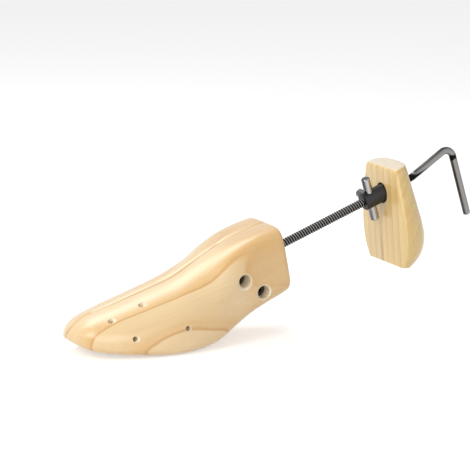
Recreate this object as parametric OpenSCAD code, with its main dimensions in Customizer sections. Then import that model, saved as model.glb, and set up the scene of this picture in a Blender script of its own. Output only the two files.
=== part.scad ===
// Two-way wooden shoe stretcher, toe towards -X, heel towards +X, standing on its sole at Z = 0.
// The origin lies on the sole, under the ball of the foot, on the middle plane.

/* [Forefoot] */
// Length from the tip of the toe to the origin
toe_len = 79; // [72:1:86]
// Length from the origin to the rear face, measured where the rod leaves it
instep_len = 84.5; // [80:0.5:92]
// Half width at the ball of the foot
ball_half = 39; // [36:0.5:44]
// Half width at the rear face
rear_half = 26; // [24:0.5:29]
// Height of the instep at its rear top edge
instep_top = 82.5; // [78:0.5:88]
// How far the toe curves up from the floor
toe_spring = 10; // [6:0.5:12]
// How far the rear face leans forward at the top
rear_tilt = 11; // [8:1:18]
// Radius of the edges round the rear face
rear_round = 3.5; // [1.5:0.5:4]
// Gap between each half and the middle plane
seam_gap = 0.25; // [0.15:0.05:0.4]

/* [Rod and handle] */
// Slope of the rod, rising towards the heel
rod_tilt = 20; // [16:1:24]
// Height of the rod where it leaves the forefoot
rod_height = 59.9; // [57:0.1:63]
// Outside diameter of the thread
thread_d = 6.5; // [6:0.1:7]
// Distance from one turn of the thread to the next
thread_pitch = 2; // [1.5:0.25:2.5]
// Diameter of the plain shank and handle
shank_d = 5.5; // [5:0.1:5.6]
// Length of thread behind the forefoot
thread_rear = 110; // [106:1:114]
// Distance from the forefoot to the first bend of the handle
handle_start = 127; // [125:1:135]
// Slight upward bend where the handle begins
handle_kink = 13; // [5:1:20]
// Length of the handle's arm
arm_len = 40; // [30:1:50]
// Length of the handle's leg
leg_len = 57; // [45:1:65]
// Turn from the arm down to the leg
leg_turn = 106; // [95:1:115]
// Bend radius of the elbow, to the middle of the rod
elbow_r = 6.5; // [5:0.5:8]

/* [Width adjustment] */
// Length of the threaded hinge block
block_len = 12; // [10:0.5:13]
// Half width of the hinge block
block_half = 6; // [5:0.5:6.5]
// Half height of the hinge block
block_high = 8; // [7:0.5:9]
// Diameter of the hinge pins
hinge_pin_d = 4; // [3:0.5:5]
// Thickness of the hinge plates
plate_t = 2.3; // [1.5:0.1:3]
// Diameter of the deep screw holes in the side
deep_hole_d = 9.8; // [9:0.2:11]
// Diameter of the hinge plate screws
plate_screw_d = 5; // [4:0.5:5]
// Wood left under the heads of the hinge plate screws
screw_seat = 6; // [4:0.5:8]
// Distance from the rear face to the back of the wedge
wedge_back = 70; // [66:1:74]
// Length of the wedge
wedge_len = 26; // [22:1:28]
// Half width of the wedge at its back
wedge_half = 9; // [8:0.5:10]
// Taper of each side of the wedge
wedge_taper = 10; // [7:1:12]
// Half height of the wedge
wedge_high = 9; // [7:0.5:10]
// Travel of the wedge towards the toe
wedge_travel = 20; // [12:1:20]
// Thickness of the wear plates
wear_t = 1.5; // [1:0.1:2]

/* [Length adjustment] */
// Distance from the forefoot to the front of the turning sleeve
sleeve_start = 82.5; // [78:0.5:88]
// Diameter of the turning sleeve
sleeve_d = 13.3; // [12.5:0.1:14]
// Diameter of the sleeve's spokes
spoke_d = 6.6; // [5:0.1:7]
// Reach of each spoke from the middle of the rod
spoke_reach = 17.6; // [14:0.1:18]
// Reach of the far spoke, which is shorter
far_reach = 15.2; // [13:0.1:18]
// Distance from the front of the sleeve to the middle of the spokes
spoke_set = 6.5; // [5:0.1:8]
// Turn of the upper spoke away from upright
spoke_turn = 8; // [0:1:30]

/* [Heel block] */
// Distance from the forefoot to the heel block's front face, along the rod
heel_start = 99.5; // [98:0.5:101]
// Height of the block's bottom over the sole
heel_bottom = 40.5; // [37:0.5:44]
// Height of the block's top over the sole
heel_top = 114.5; // [110:0.5:118]
// Half width of the block at its widest
heel_half = 32; // [29:0.5:35]
// Depth of the block at its deepest
heel_depth = 26.5; // [24:0.5:29]
// Lean of the front face, the top towards the toe
heel_lean = 4.9; // [2:0.1:7]
// Rounding of the block's upright front edges
heel_round = 4; // [2:0.5:6]
// Rounding of the block's top edge
heel_top_round = 2; // [1:0.5:3]
// Diameter of the hole that takes the turning sleeve
sleeve_hole_d = 15.4; // [15:0.1:17]
// Depth of that hole
sleeve_hole_depth = 9; // [8:0.5:10]
// Thickness of each of the two washers
washer_t = 1.2; // [0.8:0.1:1.5]
// Outside diameter of the heel bush
bush_d = 9.4; // [9:0.1:11]
// Length of the heel bush
bush_len = 6.5; // [4:0.5:7]

/* [Plug sockets] */
// Diameter of the sockets for the pressure plugs
socket_d = 4; // [3.5:0.1:5]
// Depth of the sockets
socket_depth = 12; // [8:1:14]

/* [Hidden] */
left = -1;
right = 1;
through = 200;
cut_over = 1;

// Clearances: a running fit, a free gap and the gap between faces that slide past each other
run_fit = 0.05;
free_gap = 0.5;
slide_gap = 0.1;
rod_room = 1;

// Shape of the forefoot, as points that a smooth curve passes through: [x, value]
top_line = [
    [-toe_len, 22.5], [-64, 27.8], [-50, 32.3], [-20, 41.8], [5, 50.5],
    [20, 58.5], [35, instep_top - 16], [50, instep_top - 9.2],
    [65, instep_top - 4.1], [instep_len - 3, instep_top], [instep_len + 10, instep_top + 2.5]
];
sole_dip = 0.4;
sole_line = [
    [-toe_len, toe_spring], [-66, 0.55 * toe_spring], [-50, 0.26 * toe_spring], [-32, 0.07 * toe_spring],
    [-18, -sole_dip], [6, -sole_dip], [16, 0.6], [28, 4], [38, 9.8],
    [55, 19], [70, 25], [82, 29.5], [92, 34], [110, 42]
];
belt_line = [[-toe_len, 13.5], [-50, 12], [0, 14], [30, 25], [55, 38], [instep_len + 20, 52]];
width_line = [
    [-toe_len, 17.5], [-64, 24], [-50, 30.5], [-30, 0.92 * ball_half], [-4, ball_half],
    [20, 0.93 * ball_half], [50, rear_half + 4], [instep_len + 10, rear_half]
];
crown_line = [[-toe_len, 2.1], [0, 2.2], [26, 2.4], [44, 3.6], [60, 5], [instep_len + 20, 5.6]];
lower_line = [[-toe_len, 4], [0, 5], [42, 5], [70, 3.8], [instep_len + 20, 3]];
nose_len = 16;
nose_power = 2.1;
nose_steps = 9;
body_steps = 26;
round_steps = 4;
section_steps = 15;

// Smooth curve through a list of points, by cubic pieces with the slope of the neighbours
function place(p, x, i = 0) = (i >= len(p) - 2 || x < p[i + 1][0]) ? i : place(p, x, i + 1);
function chord(p, i) = (p[i + 1][1] - p[i][1]) / (p[i + 1][0] - p[i][0]);
function slope_at(p, i) =
    i <= 0 ? chord(p, 0) :
    i >= len(p) - 1 ? chord(p, len(p) - 2) :
    (chord(p, i - 1) * (p[i + 1][0] - p[i][0]) + chord(p, i) * (p[i][0] - p[i - 1][0]))
        / (p[i + 1][0] - p[i - 1][0]);
function cubic(a, b, sa, sb, w, t) =
    a * (2 * t * t * t - 3 * t * t + 1) + b * (3 * t * t - 2 * t * t * t)
    + w * (sa * (t * t * t - 2 * t * t + t) + sb * (t * t * t - t * t));
function smooth(p, x) =
    let (i = place(p, x), w = p[i + 1][0] - p[i][0], t = (x - p[i][0]) / w)
    cubic(p[i][1], p[i + 1][1], slope_at(p, i), slope_at(p, i + 1), w, t);

// The rod's line and the rear face
rod_ref = [instep_len, 0, rod_height];
function rod_z(x) = rod_height + (x - instep_len) * tan(rod_tilt);
lean_start = 20;
function lean(x) = tan(rear_tilt) * pow(max(0, min(1, (x - lean_start) / (instep_len - lean_start))), 1.5);

// One station of the forefoot: its place along the rod, how far it is drawn in at the nose
// and how far it is drawn in by the rounding of the rear edges
function nose(x) =
    let (t = max(0, (nose_len - toe_len - x) / nose_len))
    pow(max(0, 1 - pow(t, nose_power)), 1 / nose_power);
function belt(x) = smooth(belt_line, x);
function top_z(x) =
    let (xt = x - lean(x) * (smooth(top_line, x) - rod_z(x)))
    belt(x) + (smooth(top_line, xt) - belt(x)) * nose(x);
function sole_z(x) =
    let (xs = x + lean(x) * (rod_z(x) - smooth(sole_line, x)))
    belt(x) + (smooth(sole_line, xs) - belt(x)) * nose(x);
function half_width(x) = smooth(width_line, x) * nose(x);

// Radius of a superellipse of power n, in a direction, for half axes of 1
function bulge(n, a) = pow(pow(sin(a), n) + pow(cos(a), n), -1 / n);

// The outline of one half at a station, from the seam over the top and the side to the seam below,
// cut flat where it would dip under the floor
function outline(x, draw) =
    let (zb = belt(x), up = top_z(x) - zb - draw, down = zb - sole_z(x) - draw, w = half_width(x) - draw,
         n = smooth(crown_line, x), m = smooth(lower_line, x))
    concat(
        [for (i = [0:section_steps]) let (a = 90 * i / section_steps)
            [seam_gap + (w - seam_gap) * sin(a) * bulge(n, a), zb + up * cos(a) * bulge(n, a)]],
        [for (i = [1:section_steps]) let (a = 90 - 90 * i / section_steps)
            [seam_gap + (w - seam_gap) * sin(a) * bulge(m, a),
             max(0, zb - down * cos(a) * bulge(m, a))]]
    );

// Stations from the nose to the rear face: [x, draw]
nose_end = 4;
stations = concat(
    [for (i = [0:nose_steps]) let (a = nose_end + (90 - nose_end) * i / nose_steps)
        [nose_len - toe_len - nose_len * cos(a), 0]],
    [for (i = [1:body_steps])
        [nose_len - toe_len + (instep_len - rear_round + toe_len - nose_len) * i / body_steps, 0]],
    [for (i = [1:round_steps]) let (a = 90 * i / round_steps)
        [instep_len - rear_round * (1 - sin(a)), rear_round * (1 - cos(a))]]
);

function reversed(list) = [for (i = [len(list) - 1:-1:0]) list[i]];

// Solid between outlines that all have the same number of points, each running clockwise
// when it is seen from the last one
module loft(rings) {
    n = len(rings[0]);
    m = len(rings);
    polyhedron(
        points = [for (r = rings) for (p = r) p],
        faces = concat(
            [[for (i = [0:n - 1]) i]],
            [for (j = [0:m - 2]) for (i = [0:n - 1])
                [j * n + i, (j + 1) * n + i, (j + 1) * n + (i + 1) % n, j * n + (i + 1) % n]],
            [[for (i = [n - 1:-1:0]) (m - 1) * n + i]]
        ),
        convexity = 6
    );
}

// Solid wood of one half, before anything is cut from it
module half_wood(side) {
    rings = [for (s = stations)
        [for (p = outline(s[0], s[1])) [s[0] - lean(s[0]) * (p[1] - rod_z(s[0])), side * p[0], p[1]]]];
    loft(side < 0 ? rings : reversed(rings));
}

// Places a child on the rod's axis, X along the rod towards the heel, Z square to it
module on_rod(u = 0) {
    translate(rod_ref) rotate([0, -rod_tilt, 0]) translate([u, 0, 0]) children();
}

// Width of the forefoot's side at a height, for holes that start on it
function side_y(x, z) =
    let (zb = belt(x), n = smooth(z > zb ? crown_line : lower_line, x),
         h = z > zb ? top_z(x) - zb : zb - sole_z(x))
    half_width(x) * pow(max(0, 1 - pow(abs(z - zb) / h, n)), 1 / n);

// Deep screw holes in the side: [x, z], and plug sockets: [x, z, tilt of the socket's axis]
deep_holes = [[instep_len - 36, rod_height - 13.6], [instep_len - 19.9, rod_height - 23.8]];
sockets = [
    [39.2 - toe_len, 15.5, 6], [-1.1, 19.8, 8], [26.5 - toe_len, 27, 55], [50.3 - toe_len, 35.6, 58]
];
deep_chamfer = 0.9;
socket_chamfer = 0.6;
socket_start = 3;

// Hinge plates and block, in the rod's own frame
block_rear = -1;
pivot_u = block_rear - block_len / 2;
plate_in = block_half + free_gap;
plate_out = plate_in + plate_t;
ear_t = 2.2;
ear_gap = 0.3;
ear_r = hinge_pin_d / 2 + 3;
pin_in_block = thread_d / 2 + 1.25;
ear_low = block_high + ear_gap;
ear_high = ear_low + ear_t + ear_gap;
pin_top = ear_high + ear_t + 0.5;
pocket_high = pin_top + 0.7;
function in_rod_frame(x, z) = [
    (x - instep_len) * cos(rod_tilt) + (z - rod_height) * sin(rod_tilt),
    -(x - instep_len) * sin(rod_tilt) + (z - rod_height) * cos(rod_tilt)
];
pad_r = plate_screw_d / 2 + 4.5;
head_d = plate_screw_d + 3.4;
head_h = 4;
seat_y = plate_out + screw_seat;
socket_hex_d = 4.6;
socket_hex_depth = 2.4;

// Wedge and wear plates, in the rod's own frame
wedge_front = -wedge_back - wedge_len;
wedge_tip = wedge_half - wedge_len * tan(wedge_taper);
journal_d = thread_d - 1.5;
journal_end = -wedge_back - 18;
groove_u = -wedge_back - 11;
groove_d = journal_d - 1.6;
groove_w = 2.4;
retainer_d = 2;
retainer_y = groove_d / 2 + run_fit + retainer_d / 2;
spread_turn = wedge_travel * tan(wedge_taper) / (pivot_u - wedge_front) * 180 / PI;
wear_angle = wedge_taper + spread_turn;
wear_len = wedge_len;
wear_high = wedge_high;
wear_screw_d = 2.8;
wear_head_d = 5.2;
wear_head_h = 1.3;
wear_screw_len = 10;
wear_screw_at = 0.3;

// Sleeve, washers and heel
sleeve_hole_end = heel_start + sleeve_hole_depth;
heel_washer_u = sleeve_hole_end - washer_t;
sleeve_washer_u = heel_washer_u - slide_gap - washer_t;
sleeve_end = sleeve_washer_u - slide_gap;
sleeve_chamfer = 0.6;
spoke_root = thread_d / 2 + 1.3;
spoke_chamfer = 0.6;
heel_ref = [rod_ref[0] + heel_start * cos(rod_tilt), rod_height + heel_start * sin(rod_tilt)];
function heel_front(z) = heel_ref[0] - (z - heel_ref[1]) * tan(heel_lean);
heel_mid = heel_bottom + 25.5;
heel_width_line = [
    [heel_bottom, 0.79 * heel_half], [heel_bottom + 9, 0.925 * heel_half], [heel_mid, heel_half],
    [heel_mid + 24, 0.89 * heel_half], [heel_top, 0.68 * heel_half]
];
heel_depth_line = [
    [heel_bottom, 0.46 * heel_depth], [heel_bottom + 3.5, 0.66 * heel_depth],
    [heel_bottom + 11, 0.88 * heel_depth], [heel_mid - 5, 0.985 * heel_depth],
    [heel_mid + 8, 0.93 * heel_depth], [heel_mid + 24, 0.79 * heel_depth], [heel_top, 0.56 * heel_depth]
];
heel_steps = 20;
heel_side_steps = 14;
heel_corner_steps = 4;
heel_power = 2.5;
heel_top_rise = 15;
heel_rise_len = 35;
heel_rise_start = heel_top - heel_rise_len;

// Plan outline of the heel block at a height, drawn in by the rounding of the top edge
function heel_outline(z, draw) =
    let (x0 = heel_front(z) + draw, w = smooth(heel_width_line, z) - draw,
         d = smooth(heel_depth_line, z) - 2 * draw, r = min(heel_round, d / 3))
    let (side = concat(
        [for (i = [0:heel_corner_steps]) let (a = 90 * i / heel_corner_steps)
            [x0 + r - r * cos(a), w - r + r * sin(a)]],
        [for (i = [1:heel_side_steps - 1]) let (a = 90 * i / heel_side_steps)
            [x0 + r + (d - r) * sin(a) * bulge(heel_power, a), w * cos(a) * bulge(heel_power, a)]]
    ))
    concat(side, [[x0 + d, 0]], [for (i = [len(side) - 1:-1:0]) [side[i][0], -side[i][1]]]);

// Slope of a level of the heel block, none up to a height and the full slope at the top
function heel_rise(z) =
    tan(heel_top_rise) * pow(max(0, (z - heel_rise_start) / (heel_top - heel_rise_start)), 2);

module heel_wood() {
    body_top = heel_top - heel_top_round;
    levels = concat(
        [for (i = [0:heel_steps]) let (t = i / heel_steps)
            [heel_bottom + (body_top - heel_bottom) * pow(t, 1.25), 0]],
        [for (i = [1:round_steps]) let (a = 90 * i / round_steps)
            [body_top + heel_top_round * sin(a), heel_top_round * (1 - cos(a))]]
    );
    rings = [for (l = levels)
        [for (p = heel_outline(l[0], l[1]))
            [p[0], p[1], l[0] + heel_rise(l[0]) * (p[0] - heel_front(l[0]))]]];
    loft(reversed(rings));
}

// A round bar along X from one place to another
module bar(from, to, d, fn = 48) {
    translate([from, 0, 0]) rotate([0, 90, 0]) cylinder(h = to - from, d = d, $fn = fn);
}

// Cylinder along Y on one side, from one distance to another from the middle plane
module side_bar(side, from, to, d, fn = 48) {
    rotate([-90 * side, 0, 0]) translate([0, 0, from]) cylinder(h = to - from, d = d, $fn = fn);
}

// Deep counterbored hole for a hinge plate screw, with a broken edge at the surface
module deep_hole(side, p) {
    surface = side_y(p[0], p[1]);
    translate([p[0], 0, p[1]]) {
        side_bar(side, seat_y, surface + through / 10, deep_hole_d);
        side_bar(side, 0, seat_y + cut_over, plate_screw_d);
        rotate([-90 * side, 0, 0]) translate([0, 0, surface - 2 * deep_chamfer])
            cylinder(h = 4 * deep_chamfer, d1 = deep_hole_d - 2 * deep_chamfer,
                     d2 = deep_hole_d + 6 * deep_chamfer, $fn = 48);
    }
}

// Socket for a pressure plug, square to the surface
module socket(side, p) {
    translate([p[0], side * side_y(p[0], p[1]), p[1]]) rotate([side * (p[2] - 90), 0, 0]) {
        translate([0, 0, -socket_depth]) cylinder(h = socket_depth + socket_start, d = socket_d, $fn = 32);
        translate([0, 0, -socket_chamfer])
            cylinder(h = 3 * socket_chamfer, d1 = socket_d - socket_chamfer,
                     d2 = socket_d + 5 * socket_chamfer, $fn = 32);
    }
}

// Outline of a hinge plate seen from the side, in the rod's frame
module plate_profile(low, high) {
    hull() {
        for (p = deep_holes) translate(in_rod_frame(p[0], p[1])) circle(r = pad_r, $fn = 32);
        translate([pivot_u - ear_r, low]) square([2 * ear_r, high - low]);
    }
}

module half_cuts(side) {
    recess = 0.4;
    on_rod() {
        // Pocket for the hinge block and the ears, open at the rear face
        translate([pivot_u - ear_r - recess, min(0, side * plate_out), -pocket_high])
            cube([through / 5, plate_out, 2 * pocket_high]);
        // Recess for the hinge plate
        rotate([90, 0, 0]) translate([0, 0, side > 0 ? -plate_out : 0])
            linear_extrude(height = plate_out) offset(delta = recess)
                plate_profile(-pocket_high + recess, pocket_high - recess);
        // Relief of the seam behind the hinge pins, which closes as the toe opens
        translate([pivot_u, 0, 0]) rotate([0, 0, side * spread_turn])
            translate([0, -seam_gap, -through / 4]) cube([through / 5, 2 * seam_gap, through / 2]);
        // Channel for the rod
        bar(wedge_front, 0, thread_d + 2 * rod_room);
        // Pocket for the wedge and its wear plates
        wedge_room(side);
    }
    for (p = deep_holes) deep_hole(side, p);
    for (p = sockets) socket(side, p);
}

// Half width at the sliding face of the wear plates, pushed out by a distance square to it. The plates
// meet the wedge at their front edge and are parallel to it when the halves are fully spread.
function wear_y(u, out) = wedge_tip + (u - wedge_front) * tan(wear_angle) + out / cos(wear_angle);

module wedge_room(side) {
    out = slide_gap + wear_t;
    room = 1.5;
    high = wear_high + free_gap;
    front = wedge_front - wedge_travel - room;
    front_y = wedge_tip + room;
    translate([0, 0, -high]) linear_extrude(height = 2 * high)
        polygon([
            [-wedge_back + room, 0], [-wedge_back + room, side * wear_y(-wedge_back, out)],
            [-wedge_back, side * wear_y(-wedge_back, out)],
            [wedge_front, side * wear_y(wedge_front, out)],
            [wedge_front, side * front_y], [front, side * front_y], [front, 0]
        ]);
}

// Places a child on the inner face of a wear plate: X along it, Z out of the wood
module on_wear_plate(side) {
    on_rod(wedge_front) translate([0, side * wear_y(wedge_front, slide_gap + wear_t), 0])
        rotate([0, 0, side * wear_angle]) rotate([side * 90, 0, 0]) children();
}

module wear_screw_shape() {
    cylinder(h = wear_t, d = wear_screw_d, $fn = 32);
    translate([0, 0, wear_t - wear_head_h])
        cylinder(h = wear_head_h, d1 = wear_screw_d, d2 = wear_head_d, $fn = 32);
    translate([0, 0, -wear_screw_len]) cylinder(h = wear_screw_len, d = wear_screw_d, $fn = 32);
}

module wear_screw_places() {
    for (t = [wear_screw_at, 1 - wear_screw_at])
        translate([wear_len / cos(wear_angle) * t, 0, 0]) children();
}

module half(side) {
    color("burlywood") difference() {
        half_wood(side);
        half_cuts(side);
        on_wear_plate(side) wear_screw_places() wear_screw_shape();
    }
}

module left_half() { half(left); }
module right_half() { half(right); }

// Steel plate that joins one half to the hinge block, with an ear over and under the block
module hinge_plate(side, upper, lower) {
    color("slategray") difference() {
        on_rod() {
            rotate([90, 0, 0]) translate([0, 0, side > 0 ? -plate_out : plate_in])
                linear_extrude(height = plate_t) plate_profile(lower, upper + ear_t);
            for (n = [upper, lower]) translate([pivot_u, 0, n]) {
                cylinder(h = ear_t, r = ear_r, $fn = 48);
                translate([-ear_r, min(0, side * (plate_in + plate_t / 2)), 0])
                    cube([2 * ear_r, plate_in + plate_t / 2, ear_t]);
            }
        }
        on_rod(pivot_u) cylinder(h = through, d = hinge_pin_d + 2 * run_fit, center = true, $fn = 48);
        for (p = deep_holes) translate([p[0], 0, p[1]]) side_bar(side, 0, through, plate_screw_d);
    }
}

module left_hinge_plate() { hinge_plate(left, ear_low, -ear_high - ear_t); }
module right_hinge_plate() { hinge_plate(right, ear_high, -ear_low - ear_t); }

// Socket head screws that hold a hinge plate, their heads at the bottom of the deep holes
module plate_screws(side) {
    color("dimgray") for (p = deep_holes) translate([p[0], 0, p[1]]) difference() {
        union() {
            side_bar(side, plate_in, seat_y, plate_screw_d);
            side_bar(side, seat_y, seat_y + head_h, head_d);
        }
        side_bar(side, seat_y + head_h - socket_hex_depth, seat_y + head_h + cut_over, socket_hex_d, 6);
    }
}

module left_plate_screws() { plate_screws(left); }
module right_plate_screws() { plate_screws(right); }

// Threaded block that the rod screws through and both hinge plates turn on
module hinge_block() {
    color("darkgray") difference() {
        on_rod(block_rear) translate([-block_len, -block_half, -block_high])
            cube([block_len, 2 * block_half, 2 * block_high]);
        on_rod() bar(-through, through, thread_d + 2 * run_fit);
        for (s = [-1, 1]) on_rod(pivot_u) translate([0, 0, s > 0 ? pin_in_block : -through])
            cylinder(h = through - pin_in_block, d = hinge_pin_d, $fn = 48);
    }
}

module hinge_pin(up) {
    color("silver") on_rod(pivot_u) rotate([up > 0 ? 0 : 180, 0, 0])
        translate([0, 0, pin_in_block]) cylinder(h = pin_top - pin_in_block, d = hinge_pin_d, $fn = 48);
}

module upper_hinge_pin() { hinge_pin(1); }
module lower_hinge_pin() { hinge_pin(-1); }

// Hard plate let into a half, which the wedge slides on
module wear_plate(side) {
    color("gainsboro") difference() {
        on_wear_plate(side) translate([0, -wear_high, 0])
            cube([wear_len / cos(wear_angle), 2 * wear_high, wear_t]);
        on_wear_plate(side) wear_screw_places() wear_screw_shape();
    }
}

module left_wear_plate() { wear_plate(left); }
module right_wear_plate() { wear_plate(right); }

module wear_screws(side) {
    color("dimgray") on_wear_plate(side) wear_screw_places() wear_screw_shape();
}

module left_wear_screws() { wear_screws(left); }
module right_wear_screws() { wear_screws(right); }

// Wedge that the rod pushes between the halves
module wedge() {
    color("goldenrod") on_rod() difference() {
        translate([0, 0, -wedge_high]) linear_extrude(height = 2 * wedge_high)
            polygon([[-wedge_back, -wedge_half], [-wedge_back, wedge_half],
                     [wedge_front, wedge_tip], [wedge_front, -wedge_tip]]);
        bar(journal_end - slide_gap, through, journal_d + 2 * run_fit);
        for (s = [left, right]) translate([groove_u, s * retainer_y, 0])
            cylinder(h = through, d = retainer_d, center = true, $fn = 24);
    }
}

module wedge_pins() {
    color("silver") on_rod() for (s = [left, right]) translate([groove_u, s * retainer_y, 0])
        cylinder(h = 2 * wedge_high, d = retainer_d, center = true, $fn = 24);
}

// A bend of the rod, starting along X and turning up by an angle
module rod_bend(r, angle) {
    rotate([angle < 0 ? 180 : 0, 0, 0]) translate([0, 0, r]) rotate([90, 0, 0]) rotate([0, 0, -90])
        rotate_extrude(angle = abs(angle), $fn = 96) translate([r, 0])
            circle(d = shank_d + 2 * bend_swell, $fn = 48);
}

// Places a child at the end of such a bend
module after_bend(r, angle) {
    a = abs(angle);
    translate([r * sin(a), 0, sign(angle) * r * (1 - cos(a))]) rotate([0, -angle, 0]) children();
}

// The bends are a hair thicker than the straight bars, which lap into them, so that they join cleanly
kink_r = 14;
bend_swell = 0.03;
bend_lap = 0.3;

// Depth of the thread, where it starts in front, and the broken edge at the end of the handle
thread_depth = (thread_d - shank_d) / 2;
thread_front = -wedge_back + slide_gap;
leg_chamfer = 0.8;

// Outline of the threaded rod from the journal to the shank, each turn of the thread a ridge
thread_turns = floor((thread_rear - thread_front) / thread_pitch);
thread_flat = 0.25 * thread_pitch;
rod_profile = concat(
    [[journal_end, 0], [journal_end, journal_d / 2 - 0.5], [journal_end + 0.5, journal_d / 2],
     [groove_u - groove_w / 2, journal_d / 2], [groove_u - groove_w / 2, groove_d / 2],
     [groove_u + groove_w / 2, groove_d / 2], [groove_u + groove_w / 2, journal_d / 2],
     [thread_front, journal_d / 2]],
    [for (i = [0:thread_turns - 1]) let (u = thread_front + i * thread_pitch)
        for (p = [[0, 1], [thread_flat, 0], [0.5 * thread_pitch, 0], [0.5 * thread_pitch + thread_flat, 1]])
            [u + p[0], thread_d / 2 - p[1] * thread_depth]],
    [[thread_front + thread_turns * thread_pitch, shank_d / 2]]
);

module crank_rod() {
    kink_tangent = kink_r * tan(handle_kink / 2);
    elbow_tangent = elbow_r * tan(leg_turn / 2);
    plain_start = thread_front + thread_turns * thread_pitch;
    plain_end = handle_start - kink_tangent;
    arm = arm_len - kink_tangent - elbow_tangent;
    leg = leg_len - elbow_tangent;
    color("dimgray") on_rod() {
        rotate([0, 90, 0]) rotate_extrude($fn = 64)
            polygon(concat([for (p = rod_profile) [p[1], p[0]]],
                           [[shank_d / 2, plain_end + bend_lap], [0, plain_end + bend_lap]]));
        translate([plain_end, 0, 0]) {
            rod_bend(kink_r, handle_kink);
            after_bend(kink_r, handle_kink) {
                bar(-bend_lap, arm + bend_lap, shank_d);
                translate([arm, 0, 0]) {
                    rod_bend(elbow_r, -leg_turn);
                    after_bend(elbow_r, -leg_turn) {
                        bar(-bend_lap, leg - leg_chamfer, shank_d);
                        translate([leg - leg_chamfer, 0, 0]) rotate([0, 90, 0])
                            cylinder(h = leg_chamfer, d1 = shank_d, d2 = shank_d - 2 * leg_chamfer, $fn = 48);
                    }
                }
            }
        }
    }
}

// Places a child along a spoke, Z out from the rod
module on_spoke(i) {
    on_rod(sleeve_start + spoke_set) rotate([spoke_turn + 90 * i, 0, 0]) children();
}

// Threaded sleeve that is turned by its spokes and pushes the heel block away
module turning_sleeve() {
    color("black") difference() {
        on_rod() rotate([0, 90, 0]) rotate_extrude($fn = 96) polygon([
            [thread_d / 2 + run_fit, sleeve_start], [sleeve_d / 2 - sleeve_chamfer, sleeve_start],
            [sleeve_d / 2, sleeve_start + sleeve_chamfer], [sleeve_d / 2, sleeve_end - sleeve_chamfer],
            [sleeve_d / 2 - sleeve_chamfer, sleeve_end], [thread_d / 2 + run_fit, sleeve_end]
        ]);
        for (i = [0, 2, -1]) on_spoke(i) translate([0, 0, spoke_root])
            cylinder(h = through, d = spoke_d, $fn = 48);
    }
}

module spoke(i, reach) {
    color("dimgray") on_spoke(i) {
        translate([0, 0, spoke_root]) cylinder(h = reach - spoke_chamfer - spoke_root, d = spoke_d, $fn = 48);
        translate([0, 0, reach - spoke_chamfer])
            cylinder(h = spoke_chamfer, d1 = spoke_d, d2 = spoke_d - 2 * spoke_chamfer, $fn = 48);
    }
}

module upper_spoke() { spoke(0, spoke_reach); }
module lower_spoke() { spoke(2, spoke_reach); }
module far_spoke() { spoke(-1, far_reach); }

module washer(u, d_in, d_out) {
    color("silver") on_rod() difference() {
        bar(u, u + washer_t, d_out);
        bar(u - cut_over, u + washer_t + cut_over, d_in);
    }
}

module sleeve_washer() { washer(sleeve_washer_u, thread_d + 2 * run_fit, sleeve_d); }
module heel_washer() { washer(heel_washer_u, thread_d + 2 * run_fit, sleeve_hole_d - free_gap); }

// Steel bush that lines the rod's hole through the heel block
module heel_bush() {
    color("silver") on_rod() difference() {
        bar(sleeve_hole_end, sleeve_hole_end + bush_len, bush_d);
        bar(sleeve_hole_end - cut_over, sleeve_hole_end + bush_len + cut_over, thread_d + 4 * run_fit);
    }
}

module heel_block() {
    color("wheat") difference() {
        heel_wood();
        on_rod() {
            bar(heel_start - through / 10, sleeve_hole_end, sleeve_hole_d);
            bar(sleeve_hole_end - cut_over, sleeve_hole_end + bush_len, bush_d);
            bar(sleeve_hole_end, heel_start + through / 4, thread_d + rod_room);
        }
    }
}

left_half();
right_half();
left_hinge_plate();
right_hinge_plate();
left_plate_screws();
right_plate_screws();
hinge_block();
upper_hinge_pin();
lower_hinge_pin();
left_wear_plate();
right_wear_plate();
left_wear_screws();
right_wear_screws();
wedge();
wedge_pins();
crank_rod();
turning_sleeve();
upper_spoke();
lower_spoke();
far_spoke();
sleeve_washer();
heel_washer();
heel_bush();
heel_block();
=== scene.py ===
"""Two-way wooden shoe stretcher, dressed over its CAD frame.

Shapes are in millimetres, as in the part's source, and become metres when a mesh is made.
"""
import math

import bmesh
import bpy
from mathutils import Matrix, Vector


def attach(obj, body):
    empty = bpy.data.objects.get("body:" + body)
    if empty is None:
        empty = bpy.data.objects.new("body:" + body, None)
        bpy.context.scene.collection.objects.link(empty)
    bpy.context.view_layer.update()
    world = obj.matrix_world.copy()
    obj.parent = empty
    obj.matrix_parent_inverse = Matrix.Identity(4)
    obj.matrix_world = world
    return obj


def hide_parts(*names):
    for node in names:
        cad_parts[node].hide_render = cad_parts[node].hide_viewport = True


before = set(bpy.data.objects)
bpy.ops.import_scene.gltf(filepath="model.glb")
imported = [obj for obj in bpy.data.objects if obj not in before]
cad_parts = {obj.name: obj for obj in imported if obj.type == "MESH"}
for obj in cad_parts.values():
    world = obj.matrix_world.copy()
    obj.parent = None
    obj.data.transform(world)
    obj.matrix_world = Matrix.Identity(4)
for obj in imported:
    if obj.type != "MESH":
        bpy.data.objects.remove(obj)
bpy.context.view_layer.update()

MM = 0.001
LEFT = -1
RIGHT = 1

# Forefoot, as in the part's source
TOE_LEN = 79.0
INSTEP_LEN = 84.5
BALL_HALF = 39.0
REAR_HALF = 26.0
INSTEP_TOP = 82.5
TOE_SPRING = 10.0
REAR_TILT = math.radians(11.0)
REAR_ROUND = 3.5
SEAM_GAP = 0.25
SOLE_DIP = 0.4
NOSE_LEN = 16.0
NOSE_POWER = 2.1
LEAN_START = 20.0
LEAN_POWER = 1.5

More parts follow.
